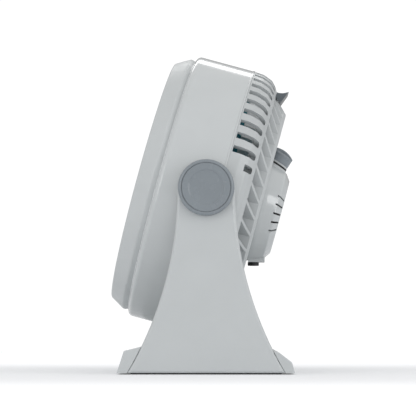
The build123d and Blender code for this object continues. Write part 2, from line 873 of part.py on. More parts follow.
def fan_impeller():
    hub = lathe(
        (hub_front, 0),
        (hub_front, impeller_hub_radius, 4),
        (blade_rear + 2, impeller_hub_radius),
        (blade_rear + 2, impeller_hub_radius - hub_wall),
        (hub_front + hub_wall, impeller_hub_radius - hub_wall, 2),
        (hub_front + hub_wall, 9),
        (hub_front + 20, 8.5),
        (hub_front + 20, 0),
    )
    rib = block((8, impeller_hub_radius - 1), (hub_front + 1, hub_front + 14), (-0.9, 0.9))
    ribs = [around(rib, 60 * index) for index in range(6)]
    envelope = rod_y(rotor_tip_radius, (-80, 80)) - rod_y(impeller_hub_radius - 2, (-81, 81))
    blade = impeller_blade() & envelope
    blades = [around(blade, 360 / impeller_blades * index) for index in range(impeller_blades)]
    bore = rod_y(shaft_radius + fit_gap, (hub_front - 5, blade_rear + 20))
    return hub + ribs + blades - bore


def impeller_nut():
    body = lathe(
        (hub_front - 10, 0),
        (hub_front - 10, 7, 2.5),
        (hub_front - 3, 11, 2),
        (hub_front - 0.1, 11),
        (hub_front - 0.1, 0),
    )
    grooves = [rod_y(1.4, (hub_front - 12, hub_front + 1), *place) for place in ring_places(8, 11.6, 0)]
    bore = rod_y(shaft_radius + fit_gap, (hub_front - 8.2, hub_front + 1))
    return body - grooves - bore


def thrust_washers():
    spans = (
        (motor_front + bearing_length + 0.1, core_front - 0.6),
        (core_rear + 0.6, motor_rear - bearing_length - 0.1),
    )
    bore = shaft_radius + fit_gap
    return Compound([rod_y(bore + 2.5, span) - rod_y(bore, (span[0] - 1, span[1] + 1)) for span in spans])


# ---- Tilt joint ----
def pivot_inserts():
    inserts = []
    for side in (1, -1):
        span = sorted((side * (drum_radius - boss_depth + 1), side * (drum_radius + pad_stand - 0.2)))
        bore = rod_x(stud_radius + running_gap, (span[0] - 1, span[1] + 1))
        inserts.append(rod_x(insert_radius, span) - bore)
    return Compound(inserts)


def friction_washers():
    washers = []
    for side in (1, -1):
        start = drum_radius + pad_stand
        span = sorted((side * start, side * (start + washer_thickness)))
        washers.append(rod_x(pad_radius - 1, span) - rod_x(stud_radius + 0.4, (span[0] - 1, span[1] + 1)))
    return Compound(washers)


def tilt_knob(side):
    disc = rod_x(knob_disc_radius, (disc_back, disc_face))
    disc = chamfer(disc.edges().filter_by(GeomType.CIRCLE).sort_by(Axis.X)[-1], knob_disc_chamfer)
    core = rod_x(9, (disc_back - 2, disc_face))
    hollow = rod_x(knob_disc_radius - shell_wall, (disc_back - 1, disc_face - 3.5)) - core
    seat = rod_x(disc_cap_radius + lap_gap, (disc_face - disc_cap_depth, disc_face + 1))
    bore = rod_x(stud_radius + fit_gap, (disc_back - 1, disc_face - 3))
    rib = block((disc_back + 0.5, disc_face - 3), (8.5, knob_disc_radius - 2), (-0.8, 0.8))
    ribs = [Rot(60 * index, 0, 0) * rib for index in range(6)]
    knob = disc - hollow + ribs - seat - bore
    return knob if side > 0 else mirror(knob, Plane.YZ)


def tilt_stud(side):
    stud = rod_x(stud_radius, (drum_radius - boss_depth + 2, disc_face - 3.2))
    stud = chamfer(stud.edges().filter_by(GeomType.CIRCLE), 0.5)
    return stud if side > 0 else mirror(stud, Plane.YZ)


def knob_cap(side):
    cap = rod_x(disc_cap_radius, (disc_face - disc_cap_depth, disc_face - 0.3))
    cap = fillet(cap.edges().filter_by(GeomType.CIRCLE).sort_by(Axis.X)[-1], 0.3)
    return cap if side > 0 else mirror(cap, Plane.YZ)


# ---- Stand, drawn in its own place ----
leg_screw_places = [(leg_inner - 12, -25.0), (leg_inner - 12, 25.0)]
underside_posts = [(x * 100.0, y * 35.0) for x in (-1, 0, 1) for y in (-1, 1)]
liner_sink = leg_inner + 0.8


def leg_outline():
    """The leg's outline in the (y, z) plane."""
    top = (leg_top_radius, pivot_height)
    middle_height = pivot_height / 2
    middle = (leg_half_width(middle_height), middle_height)
    foot = (leg_half_width(leg_bottom), leg_bottom)
    flank = ThreePointArc(top, middle, foot)
    crown = ThreePointArc((-top[0], top[1]), (0, pivot_height + leg_top_radius), top)
    return make_face(Curve() + [flank, mirror(flank, Plane.YZ), crown, Line((-foot[0], foot[1]), foot)])


def leg_cavity():
    """The outline of the hollow inside a leg."""
    above = Pos(0, leg_solid_height + 200) * Rectangle(600, 400)
    return offset(leg_outline(), -leg_wall) & above


def leg(side):
    shell = side_slab(leg_outline(), (leg_inner, leg_outer))
    shell = fillet(shell.faces().sort_by(Axis.X)[-1].edges(), leg_edge_fillet)
    shell = shell - side_slab(leg_cavity(), (leg_inner - 1, leg_outer - leg_wall))
    hub = rod_x(hub_radius, (leg_inner, leg_outer - 1), 0, pivot_height)
    bore = rod_x(bush_radius + fit_gap, (leg_inner - 1, leg_outer + 1), 0, pivot_height)
    tenon_reach = (leg_inner - tenon_length, leg_inner + 5)
    tenon = block(tenon_reach, (-tenon_half_width, tenon_half_width), tenon_span)
    posts = [rod_x(4.5, (leg_inner + liner_thickness, leg_outer - 1), *place) for place in liner_places()]
    pilots = [rod_x(pilot_hole, (leg_inner, leg_outer - leg_wall), *place) for place in liner_places()]
    holes = [rod_z(clear_hole, (0, 20), *place) for place in leg_screw_places]
    shell = shell + hub + tenon + posts - bore - pilots - holes
    return shell if side > 0 else mirror(shell, Plane.YZ)


def liner_places():
    """The (y, z) places of the screws that hold a leg's liner."""
    return [(0, pivot_height - 60), (-30, leg_solid_height + 14), (30, leg_solid_height + 14)]


def leg_liner(side):
    plate = side_slab(offset(leg_cavity(), -lap_gap), (leg_inner, leg_inner + liner_thickness))
    plate = plate - rod_x(hub_radius + lap_gap, (leg_inner - 1, leg_inner + 5), 0, pivot_height)
    for place in liner_places():
        plate = plate - rod_x(clear_hole, (leg_inner - 1, leg_inner + 5), *place)
        plate = plate - rod_x(screw_head_radius + hole_gap, (leg_inner - 1, liner_sink), *place)
    return plate if side > 0 else mirror(plate, Plane.YZ)


def liner_screws():
    """The liners' screws, whose heads sink into the plates."""
    screws = []
    for place in liner_places():
        body = rod_x(screw_radius, (liner_sink, leg_outer - leg_wall - 1), *place)
        screws.append(body + rod_x(screw_head_radius, (leg_inner + 0.1, liner_sink), *place))
    return Compound(screws + [mirror(item, Plane.YZ) for item in screws])


def pivot_bushes():
    span = (leg_inner + 0.1, leg_outer - 0.1)
    bush = rod_x(bush_radius, span, 0, pivot_height)
    bush = bush - rod_x(stud_radius + running_gap, (span[0] - 1, span[1] + 1), 0, pivot_height)
    return Compound([bush, mirror(bush, Plane.YZ)])


base_reach = leg_outer - foot_inset
end_wall_outer = leg_inner - lap_gap
end_wall_inner = end_wall_outer - base_wall
base_front = -leg_half_width(0) - front_foot_reach
base_rear = leg_half_width(0) + rear_foot_reach
plate_front = base_front + plate_inset
plate_rear = base_rear - plate_inset


def base_outline():
    """The base's side profile in the (y, z) plane: a foot bar front and rear with a low middle."""
    front_crest = -leg_half_width(front_crest_height)
    rear_crest = leg_half_width(rear_crest_height)
    corners = (
        (base_front, leg_bottom, 0),
        (base_front + front_foot_slope, front_foot_height, 3),
        (front_crest, front_crest_height, 6),
        (front_crest + bar_inner_slope, base_middle_height, 10),
        (rear_crest - bar_inner_slope, base_middle_height, 10),
        (rear_crest, rear_crest_height, 5),
        (rear_crest + rear_crest_run, rear_crest_height - rear_crest_fall, 5),
        (base_rear - rear_foot_slope, rear_foot_height, 4),
        (base_rear, leg_bottom, 0),
    )
    points = [corner[:2] for corner in corners]
    return make_face(FilletPolyline(*points, radius=[corner[2] for corner in corners], close=True))


def base_frame():
    body = side_slab(base_outline(), (-base_reach, base_reach))
    for end in (0, -1):
        rim = body.faces().sort_by(Axis.X)[end].edges()
        body = fillet(rim.filter_by(lambda edge: edge.center().Z > leg_bottom + 1), 1.2)
    cavity = side_slab(offset(base_outline(), -base_wall), (-end_wall_inner, end_wall_inner))
    floor = leg_bottom + plate_thickness
    well = block((-end_wall_inner, end_wall_inner), (plate_front, plate_rear), (0, floor + 4))
    body = body - cavity - well
    notch = side_slab(offset(leg_outline(), lap_gap), (end_wall_outer, base_reach + 5))
    slot = block(
        (end_wall_inner - 1, end_wall_outer + 1),
        (-tenon_half_width - lap_gap, tenon_half_width + lap_gap),
        (tenon_span[0] - lap_gap, tenon_span[1] + lap_gap),
    )
    for cut in (notch, slot):
        body = body - cut - mirror(cut, Plane.YZ)
    posts = [rod_z(4, (floor, base_middle_height - 1), *place) for place in underside_posts]
    pilots = [rod_z(pilot_hole, (0, base_middle_height - 2), *place) for place in underside_posts]
    for x, y in leg_screw_places:
        for side in (1, -1):
            posts.append(rod_z(4, (tenon_span[1], base_middle_height - 1), side * x, y))
            pilots.append(rod_z(pilot_hole, (0, base_middle_height - 2), side * x, y))
    return body + posts - pilots


def base_underplate():
    across = end_wall_inner - plate_gap
    along = (plate_front + plate_gap, plate_rear - plate_gap)
    plate = block((-across, across), along, (leg_bottom, leg_bottom + plate_thickness))
    holes = [rod_z(clear_hole, (0, 10), *place) for place in underside_posts]
    sinks = [rod_z(screw_head_radius + hole_gap, (0, leg_bottom + 1), *place) for place in underside_posts]
    return plate - holes - sinks - foot_ring_blank()


def underplate_screws():
    screws = []
    for x, y in underside_posts:
        shank = rod_z(screw_radius, (leg_bottom + 0.9, base_middle_height - 4), x, y)
        screws.append(shank + rod_z(screw_head_radius, (leg_bottom + 0.1, leg_bottom + 1), x, y))
    return Compound(screws)


def leg_screws():
    screws = []
    for x, y in leg_screw_places:
        for side in (1, -1):
            screws.append(Pos(side * x, y, tenon_span[0]) * Rot(180, 0, 0) * screw(9))
    return Compound(screws)


def foot_ring_blank():
    """The rubber strip that runs round the underside, let into a groove in the underplate."""
    half = end_wall_inner - rubber_inset
    length = plate_rear - plate_front - 2 * rubber_inset
    outer = RectangleRounded(2 * half, length, rubber_width)
    inner = RectangleRounded(2 * (half - rubber_width), length - 2 * rubber_width, rubber_width / 4)
    strip = Pos(0, (plate_front + plate_rear) / 2) * (outer - inner)
    return extrude(strip, amount=rubber_height + rubber_groove)


def rubber_foot_ring():
    ring = foot_ring_blank()
    return chamfer(ring.edges().group_by(Axis.Z)[0], 0.4)


# ---- Writing ----
head_pieces = {
    "front_bezel": front_bezel,
    "front_grille": front_grille,
    "grille_badge": grille_badge,
    "grille_screws": grille_screws,
    "mid_housing": mid_housing,
    "rear_grille": rear_grille,
    "shell_screws": shell_screw_group,
    "carry_grip": carry_grip,
    "motor_cover": motor_cover,
    "cover_screws": cover_screws,
    "cord_gland": cord_gland,
    "speed_knob": speed_knob,
    "knob_trim": knob_trim,
    "knob_ring": knob_ring,
    "switch_spindle": switch_spindle,
    "speed_switch": speed_switch,
    "motor_front_bracket": motor_front_bracket,
    "motor_rear_bracket": motor_rear_bracket,
    "stator_core": stator_core,
    "stator_coils": stator_coils,
    "motor_screws": motor_screws,
    "front_bearing": lambda: sleeve_bearing(motor_front, 1),
    "rear_bearing": lambda: sleeve_bearing(motor_rear, -1),
    "run_capacitor": run_capacitor,
    "terminal_block": terminal_block,
    "motor_shaft": motor_shaft,
    "rotor_core": rotor_core,
    "thrust_washers": thrust_washers,
    "fan_impeller": fan_impeller,
    "impeller_nut": impeller_nut,
    "pivot_inserts": pivot_inserts,
    "friction_washers": friction_washers,
    "right_tilt_knob": lambda: tilt_knob(1),
    "left_tilt_knob": lambda: tilt_knob(-1),
    "right_tilt_stud": lambda: tilt_stud(1),
    "left_tilt_stud": lambda: tilt_stud(-1),
    "right_knob_cap": lambda: knob_cap(1),
    "left_knob_cap": lambda: knob_cap(-1),
}
stand_pieces = {
    "right_leg": lambda: leg(1),
    "left_leg": lambda: leg(-1),
    "right_leg_liner": lambda: leg_liner(1),
    "left_leg_liner": lambda: leg_liner(-1),
    "liner_screws": liner_screws,
    "pivot_bushes": pivot_bushes,
    "base_frame": base_frame,
    "base_underplate": base_underplate,
    "underplate_screws": underplate_screws,
    "leg_screws": leg_screws,
    "rubber_foot_ring": rubber_foot_ring,
}

tilted = Location((0, 0, pivot_height), (-rest_tilt, 0, 0))
for name, draw in head_pieces.items():
    export_step(tilted * draw(), f"parts/{name}.step")
for name, draw in stand_pieces.items():
    export_step(draw(), f"parts/{name}.step")
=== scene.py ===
"""Looks of the drum-shaped desk fan: finishes, small fitted details, light and camera."""

import logging
import math
from dataclasses import dataclass, field
from enum import Enum

import bmesh
import bpy
from mathutils import Matrix, Vector

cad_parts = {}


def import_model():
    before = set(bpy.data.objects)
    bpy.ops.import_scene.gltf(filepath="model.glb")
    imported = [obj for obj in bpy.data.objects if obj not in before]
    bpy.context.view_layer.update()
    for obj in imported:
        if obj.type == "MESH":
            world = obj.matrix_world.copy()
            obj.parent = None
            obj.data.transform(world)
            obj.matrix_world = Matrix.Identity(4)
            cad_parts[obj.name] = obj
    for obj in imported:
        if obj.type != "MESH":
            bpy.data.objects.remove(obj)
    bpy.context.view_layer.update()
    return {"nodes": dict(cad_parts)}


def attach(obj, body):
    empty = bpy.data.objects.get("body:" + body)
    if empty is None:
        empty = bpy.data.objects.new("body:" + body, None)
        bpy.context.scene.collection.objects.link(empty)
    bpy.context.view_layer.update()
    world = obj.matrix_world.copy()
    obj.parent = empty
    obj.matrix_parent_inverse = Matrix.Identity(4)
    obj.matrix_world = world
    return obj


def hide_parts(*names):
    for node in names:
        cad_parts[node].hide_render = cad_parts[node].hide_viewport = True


LOG = logging.getLogger("desk_fan")
MM = 0.001
REST_TILT = math.radians(15.3)
AXIS_HEIGHT = 193.658 * MM


# ---- Colour and node helpers ----
def linear(hex_colour: str) -> tuple[float, float, float, float]:
    """Turn an sRGB hex colour into the linear RGBA that the shaders take.

    Args:
        hex_colour: six hex digits, such as "c8cdd0".

    Returns:
        Linear red, green, blue and an alpha of 1.
    """
    channels = [int(hex_colour[start:start + 2], 16) / 255 for start in (0, 2, 4)]
    straight = [c / 12.92 if c <= 0.04045 else ((c + 0.055) / 1.055) ** 2.4 for c in channels]
    return (straight[0], straight[1], straight[2], 1.0)


def add_node(
    tree: bpy.types.NodeTree, kind: str, settings: dict | None = None, links: dict | None = None
) -> bpy.types.Node:
    """Add one node with its settings and the links into it.

    Args:
        tree: the node tree to add to.
        kind: the node's Blender type name.
        settings: attribute names to values, and input names or numbers to constants.
        links: input names or numbers to output sockets.

    Returns:
        The new node.
    """
    node = tree.nodes.new(kind)
    for name, value in (settings or {}).items():
        if isinstance(name, str) and hasattr(node, name):
            setattr(node, name, value)
        else:
            node.inputs[name].default_value = value
    for name, socket in (links or {}).items():
        tree.links.new(socket, node.inputs[name])
    return node


def ramp(
    tree: bpy.types.NodeTree, factor: bpy.types.NodeSocket, stops: list[tuple[float, tuple]]
) -> bpy.types.Node:
    """Add a colour ramp.

    Args:
        tree: the node tree to add to.
        factor: the socket that drives the ramp.
        stops: (position, linear RGBA) pairs in order.

    Returns:
        The ramp node.
    """
    node = add_node(tree, "ShaderNodeValToRGB", links={0: factor})
    elements = node.color_ramp.elements
    while len(elements) < len(stops):
        elements.new(0.5)
    for element, (position, colour) in zip(elements, stops):
        element.position = position
        element.color = colour
    return node


def edge_wear(tree: bpy.types.NodeTree, width_mm: float) -> bpy.types.Node:
    """Find the edges of a part, where handling polishes a moulding paler.

    Args:
        tree: the node tree to add to.
        width_mm: how far from an edge the wear reaches.

    Returns:
        A node whose first output is 0 on open faces and 1 on the edges.
    """
    flat = add_node(tree, "ShaderNodeNewGeometry")
    rounded = add_node(tree, "ShaderNodeBevel", {"samples": 3, "Radius": width_mm * MM})
    match = add_node(
        tree, "ShaderNodeVectorMath", {"operation": "DOT_PRODUCT"},
        {0: flat.outputs["Normal"], 1: rounded.outputs[0]},
    )
    return add_node(
        tree, "ShaderNodeMapRange", {"From Min": 0.985, "From Max": 0.80, "To Max": 0.7},
        {"Value": match.outputs["Value"]},
    )


# ---- Finishes ----
@dataclass(frozen=True)
class MouldedPlastic:
    """Injection-moulded thermoplastic: a smooth skin over a faint ripple, a little paler on worn edges."""

    name: str
    colour: str
    shade: str
    edge: str
    roughness: float = 0.28
    coat: float = 0.0
    ripple_mm: float = 4.0
    ripple_height_mm: float = 0.012
    ior: float = 1.53
    dust: float = 0.25
    edge_mm: float = 0.5

    def build(self) -> bpy.types.Material:
        """Build the node material and return it."""
        material = bpy.data.materials.new(self.name)
        material.use_nodes = True
        tree = material.node_tree
        shader = tree.nodes["Principled BSDF"]
        place = add_node(tree, "ShaderNodeTexCoord")
        cloud = add_node(
            tree, "ShaderNodeTexNoise", {"Scale": 1 / (60 * MM), "Detail": 3.0, "Roughness": 0.55},
            {"Vector": place.outputs["Object"]},
        )
        flow = ramp(tree, cloud.outputs["Fac"], [(0.3, linear(self.shade)), (0.7, linear(self.colour))])
        edge_mask = edge_wear(tree, self.edge_mm)
        tint = add_node(
            tree, "ShaderNodeMix", {"data_type": "RGBA", 7: linear(self.edge)},
            {0: edge_mask.outputs[0], 6: flow.outputs[0]},
        )
        tree.links.new(tint.outputs[2], shader.inputs["Base Color"])
        film = add_node(
            tree, "ShaderNodeTexNoise", {"Scale": 1 / (9 * MM), "Detail": 4.0},
            {"Vector": place.outputs["Object"]},
        )
        gloss = add_node(
            tree, "ShaderNodeMapRange",
            {"From Min": 0.35, "From Max": 0.75,
             "To Min": self.roughness, "To Max": self.roughness * (1 + self.dust)},
            {"Value": film.outputs["Fac"]},
        )
        tree.links.new(gloss.outputs[0], shader.inputs["Roughness"])
        peel = add_node(
            tree, "ShaderNodeTexNoise", {"Scale": 1 / (self.ripple_mm * MM), "Detail": 1.0},
            {"Vector": place.outputs["Object"]},
        )
        bump = add_node(
            tree, "ShaderNodeBump", {"Strength": 0.35, "Distance": self.ripple_height_mm * MM},
            {"Height": peel.outputs["Fac"]},
        )
        tree.links.new(bump.outputs["Normal"], shader.inputs["Normal"])
        shader.inputs["IOR"].default_value = self.ior
        shader.inputs["Coat Weight"].default_value = self.coat
        shader.inputs["Coat Roughness"].default_value = 0.06
        return material


@dataclass(frozen=True)
class Metal:
    """Bare or plated metal with fine machining or grain marks."""

    name: str
    colour: str
    shade: str
    roughness: float = 0.3
    grain_mm: float = 0.5
    stretch: float = 1.0

    def build(self) -> bpy.types.Material:
        """Build the node material and return it."""
        material = bpy.data.materials.new(self.name)
        material.use_nodes = True
        tree = material.node_tree
        shader = tree.nodes["Principled BSDF"]
        place = add_node(tree, "ShaderNodeTexCoord")
        fit = add_node(
            tree, "ShaderNodeMapping", {"Scale": (1.0, self.stretch, 1.0)}, {"Vector": place.outputs["Object"]}
        )
        grain = add_node(
            tree, "ShaderNodeTexNoise", {"Scale": 1 / (self.grain_mm * MM), "Detail": 3.0},
            {"Vector": fit.outputs[0]},
        )
        flow = ramp(tree, grain.outputs["Fac"], [(0.3, linear(self.shade)), (0.7, linear(self.colour))])
        tree.links.new(flow.outputs[0], shader.inputs["Base Color"])
        gloss = add_node(
            tree, "ShaderNodeMapRange", {"To Min": self.roughness * 0.8, "To Max": self.roughness * 1.3},
            {"Value": grain.outputs["Fac"]},
        )
        tree.links.new(gloss.outputs[0], shader.inputs["Roughness"])
        bump = add_node(
            tree, "ShaderNodeBump", {"Strength": 0.3, "Distance": 0.02 * MM}, {"Height": grain.outputs["Fac"]}
        )
        tree.links.new(bump.outputs["Normal"], shader.inputs["Normal"])
        shader.inputs["Metallic"].default_value = 1.0
        return material


class Finish(Enum):
    """The finishes of the fan, each named for its material and how its surface was made."""

    # Satin ABS: a broad, soft sheen with no mirror line.
    BEZEL = MouldedPlastic("abs_moulded_satin", "cdd1d2", "c9cdce", "dadddd", roughness=0.34)
    # Polished ABS: reflects the lamps as crisp bands on the drum and the motor cover.
    HOUSING = MouldedPlastic("abs_moulded_polished", "cfd3d4", "cbcfd0", "dcdfe0", roughness=0.12, coat=0.4)
    # Polypropylene: slightly waxy, so the ribs shade softly from light to dark.
    GRILLE = MouldedPlastic("polypropylene_moulded_grille", "c8cccd", "c2c6c7", "d8dbdc", roughness=0.30, ior=1.49)
    # Fine satin ABS: an even pale face on the legs and the base.
    STAND = MouldedPlastic("abs_moulded_fine_satin", "cbcfd0", "c7cbcc", "d8dbdc", roughness=0.38)
    # Grey-blue ABS: darker controls with a tight highlight on their rounded rims.
    KNOB = MouldedPlastic("abs_moulded_grey_blue", "8b9399", "858c92", "a3aaaf", roughness=0.24)
    # Slate ABS, polished: dark flanks with a bright line along the finger edge.
    HOOK = MouldedPlastic("abs_moulded_slate_gloss", "5d666c", "576066", "8f979c", roughness=0.14, coat=0.5)
    # Polished ABS painted paler than the drum: a painted highlight that, with the lamps' reflection, makes the
    # bright thread of light round the drum's seam.
    LIP_PAINTED_HIGHLIGHT = MouldedPlastic("abs_polished_lip_painted_highlight", "e3e6e7", "dfe2e3", "eceeee", roughness=0.10, coat=0.6)
    # The grey-blue of the knobs on their caps.
    CAP = MouldedPlastic("abs_moulded_grey_blue_cap", "8b9399", "858d93", "9ea6ac", roughness=0.26)
    # Painted shade: dull black sheets behind the vents, so the vents read as dark slits.
    PAINTED_SHADE = MouldedPlastic("black_painted_shade_sheet", "141517", "101113", "222326", roughness=0.6, ripple_mm=1.5)
    # Pad-printed ink: flat white marks.
    PAINT = MouldedPlastic("pad_printed_white_ink", "e9ebeb", "e2e4e4", "f0f1f1", roughness=0.4, ripple_mm=1.0)
    # Teal polypropylene: the one strong colour, seen through the slots and the front grille.
    IMPELLER = MouldedPlastic("polypropylene_moulded_teal", "3a9db0", "318b9d", "5cb2c0", roughness=0.25)
    # Glossy grey-blue ABS: a blank disc that mirrors the lamps a little.
    BADGE = MouldedPlastic("abs_moulded_badge", "8a9299", "848c93", "a2aab0", roughness=0.22, coat=0.5)
    # Black nylon: nearly matt, with paler edges.
    BLACK = MouldedPlastic("nylon_moulded_black", "17181a", "121315", "2c2d30", roughness=0.42)
    # Pressed rubber: dull black with no highlight.
    RUBBER = MouldedPlastic("rubber_pressed_black", "1b1b1c", "151516", "2a2a2b", roughness=0.75, ripple_mm=1.2)
    # Natural nylon: a warm off-white beside the cool greys.
    NYLON = MouldedPlastic("nylon_moulded_natural", "dcd9cc", "d4d0c2", "e6e3d8", roughness=0.45)
    # Glass-filled polyester: dark grey with a low sheen.
    CAPACITOR = MouldedPlastic("pbt_moulded_black", "202224", "1a1c1e", "36383b", roughness=0.35)
    # Turned steel: fine lines round the shaft.
    STEEL = Metal("steel_turned", "b9bbbc", "a7a9ab", roughness=0.25, stretch=6.0)
    # Zinc plate: a mottled, slightly greenish silver.
    ZINC = Metal("steel_zinc_plated", "c6c8c4", "aeb1ae", roughness=0.32, grain_mm=0.8)
    # Stacked electrical steel: thin dark layers.
    LAMINATED = Metal("electrical_steel_stacked", "74777b", "5c5f63", roughness=0.45, grain_mm=0.5, stretch=12.0)
    # Die-cast aluminium: a frosty, uneven skin.
    CAST = Metal("aluminium_die_cast", "b4b5b6", "9fa1a3", roughness=0.5, grain_mm=0.9)
    # Sintered bronze: a dull brown grain.
    BRONZE = Metal("bronze_sintered", "a9885a", "8d6f46", roughness=0.5, grain_mm=0.4)
    # Turned brass: bright and yellow.
    BRASS = Metal("brass_turned", "c9a55c", "b08d46", roughness=0.25, stretch=6.0)
    # Enamelled copper wire: warm and a little glossy.
    COPPER = Metal("copper_wire_enamelled", "b0693c", "91522c", roughness=0.3, grain_mm=1.2, stretch=0.3)


class Paintbox:
    """Builds each finish once and hands it out."""

    def __init__(self) -> None:
        """Start with no material built."""
        self._built: dict[Finish, bpy.types.Material] = {}

    def get(self, finish: Finish) -> bpy.types.Material:
        """Return the material of a finish, building it the first time."""
        if finish not in self._built:
            self._built[finish] = finish.value.build()
        return self._built[finish]


NODE_FINISH = {
    "front_bezel": Finish.BEZEL,
    "front_grille": Finish.GRILLE,
    "grille_badge": Finish.BADGE,
    "grille_screws": Finish.ZINC,
    "mid_housing": Finish.HOUSING,
    "rear_grille": Finish.GRILLE,
    "shell_screws": Finish.ZINC,
    "carry_grip": Finish.HOOK,
    "motor_cover": Finish.HOUSING,
    "cover_screws": Finish.ZINC,
    "cord_gland": Finish.BLACK,
    "speed_knob": Finish.KNOB,
    "knob_ring": Finish.BLACK,
    "knob_trim": Finish.HOUSING,
    "switch_spindle": Finish.NYLON,
    "speed_switch": Finish.CAPACITOR,
    "motor_front_bracket": Finish.CAST,
    "motor_rear_bracket": Finish.CAST,
    "stator_core": Finish.LAMINATED,
    "stator_coils": Finish.COPPER,
    "motor_screws": Finish.ZINC,
    "front_bearing": Finish.BRONZE,
    "rear_bearing": Finish.BRONZE,
    "run_capacitor": Finish.CAPACITOR,
    "terminal_block": Finish.NYLON,
    "motor_shaft": Finish.STEEL,
    "rotor_core": Finish.LAMINATED,
    "thrust_washers": Finish.NYLON,
    "fan_impeller": Finish.IMPELLER,
    "impeller_nut": Finish.IMPELLER,
    "pivot_inserts": Finish.BRASS,
    "friction_washers": Finish.NYLON,
    "right_tilt_knob": Finish.KNOB,
    "left_tilt_knob": Finish.KNOB,
    "right_tilt_stud": Finish.STEEL,
    "left_tilt_stud": Finish.STEEL,
    "right_knob_cap": Finish.CAP,
    "left_knob_cap": Finish.CAP,
    "right_leg": Finish.STAND,
    "left_leg": Finish.STAND,
    "right_leg_liner": Finish.STAND,
    "left_leg_liner": Finish.STAND,
    "liner_screws": Finish.ZINC,
    "pivot_bushes": Finish.NYLON,
    "base_frame": Finish.STAND,
    "base_underplate": Finish.STAND,
    "underplate_screws": Finish.ZINC,
    "leg_screws": Finish.ZINC,
    "rubber_foot_ring": Finish.RUBBER,
}


@dataclass
class CarriedNodes:
    """The CAD nodes that keep their own shape: each gets its finish and softly rounded edges."""

    paint: Paintbox
    edge_angle: float = math.radians(32)
    round_mm: dict[str, float] = field(default_factory=lambda: {"rear_grille": 0.7, "front_grille": 0.4})

    def dress(self, nodes: dict[str, bpy.types.Object]) -> None:
        """Give every node its finish and its edge rounding.

        Args:
            nodes: the CAD nodes by name.
        """
        for name, item in nodes.items():
            item.data.materials.clear()
            item.data.materials.append(self.paint.get(NODE_FINISH[name]))
            item.data.polygons.foreach_set("use_smooth", [True] * len(item.data.polygons))
            self._shade(item, self.round_mm.get(name, 0.25))
            LOG.info("dressed %s", name)

    def _shade(self, item: bpy.types.Object, radius_mm: float) -> None:
        """Add the modifiers that close, round and shade one node's mesh.

        Args:
            item: the CAD node.
            radius_mm: how far its edges are rounded.
        """
        weld = item.modifiers.new("weld", "WELD")
        weld.merge_threshold = 0.002 * MM
        bevel = item.modifiers.new("round", "BEVEL")
        bevel.width = radius_mm * MM
        bevel.segments = 2
        bevel.limit_method = "ANGLE"
        bevel.angle_limit = self.edge_angle
        bevel.use_clamp_overlap = True
        bevel.harden_normals = False
        normals = item.modifiers.new("normals", "WEIGHTED_NORMAL")
        normals.mode = "FACE_AREA_WITH_ANGLE"
        normals.keep_sharp = True


# ---- Detail pieces ----
class MeshPiece:
    """Turns a bmesh into a piece of the fan that rides on one body."""

    def __init__(self, paint: Paintbox) -> None:
        """Keep the paintbox the pieces are dressed from."""
        self.paint = paint

    def add(
        self, name: str, mesh: bmesh.types.BMesh, finish: Finish, body: str, slot: str, place: Matrix,
        replaced: tuple[str, ...] = (), sharp_angle: float = math.radians(35),
    ) -> bpy.types.Object:
        """Make the object, dress it and hang it on its body.

        Args:
            name: the piece's name.
            mesh: its faces, which are freed here.
            finish: what it is made of.
            body: the body it moves with.
            slot: not used.
            place: where its own origin and axes go.
            replaced: the CAD nodes it stands for.
            sharp_angle: faces that meet at more than this keep a crisp edge.

        Returns:
            The finished object.
        """
        bmesh.ops.remove_doubles(mesh, verts=mesh.verts, dist=0.00001)
        bmesh.ops.recalc_face_normals(mesh, faces=mesh.faces)
        data = bpy.data.meshes.new(name)
        mesh.to_mesh(data)
        mesh.free()
        data.transform(place)
        if place.determinant() < 0:
            data.flip_normals()
        data.polygons.foreach_set("use_smooth", [True] * len(data.polygons))
        data.set_sharp_from_angle(angle=sharp_angle)
        data.materials.append(self.paint.get(finish))
        item = bpy.data.objects.new(name, data)
        bpy.context.scene.collection.objects.link(item)
        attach(item, body)
        if replaced:
            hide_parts(*replaced)
        LOG.info("built %s", name)
        return item


def lathe(
    mesh: bmesh.types.BMesh, outline: list[tuple[float, float]], segments: int,
    ripple: dict[int, float] | None = None, waves: int = 0,
) -> None:
    """Turn an outline of (along, radius) points about the local X axis into a closed skin.

    Args:
        mesh: the mesh to add to.
        outline: the points in metres, in order; the first and last may lie on the axis.
        segments: how many steps the turn has.
        ripple: how much the radius of some points swings, by their number.
        waves: how many swings there are in a turn.
    """
    rings = []
    for number, (along, radius) in enumerate(outline):
        if radius == 0:
            rings.append([mesh.verts.new((along, 0, 0))])
            continue
        swing = (ripple or {}).get(number, 0.0)
        ring = []
        for step in range(segments):
            turn = 2 * math.pi * step / segments
            reach = radius + swing * math.cos(turn * waves)
            ring.append(mesh.verts.new((along, reach * math.cos(turn), reach * math.sin(turn))))
        rings.append(ring)
    for near, far in zip(rings, rings[1:]):
        for step in range(segments):
            after = (step + 1) % segments
            corners = [near[step % len(near)], near[after % len(near)]]
            corners += [far[after % len(far)], far[step % len(far)]]
            mesh.faces.new(list(dict.fromkeys(corners)))


def arc_points(
    centre: tuple[float, float], radius: float, start: float, end: float, steps: int
) -> list[tuple[float, float]]:
    """Return points along an arc, both ends included, with its angles in degrees."""
    turns = [math.radians(start + (end - start) * step / steps) for step in range(steps + 1)]
    return [(centre[0] + radius * math.cos(turn), centre[1] + radius * math.sin(turn)) for turn in turns]


def close_bar(mesh: bmesh.types.BMesh, sections: list[list[bmesh.types.BMVert]]) -> None:
    """Skin a bar through its four-cornered sections and close both ends.

    Args:
        mesh: the mesh that holds the corners.
        sections: the corners of each section, in order along the bar.
    """
    for near, far in zip(sections, sections[1:]):
        for corner in range(4):
            after = (corner + 1) % 4
            mesh.faces.new((near[corner], near[after], far[after], far[corner]))
    mesh.faces.new(sections[0])
    mesh.faces.new(list(reversed(sections[-1])))


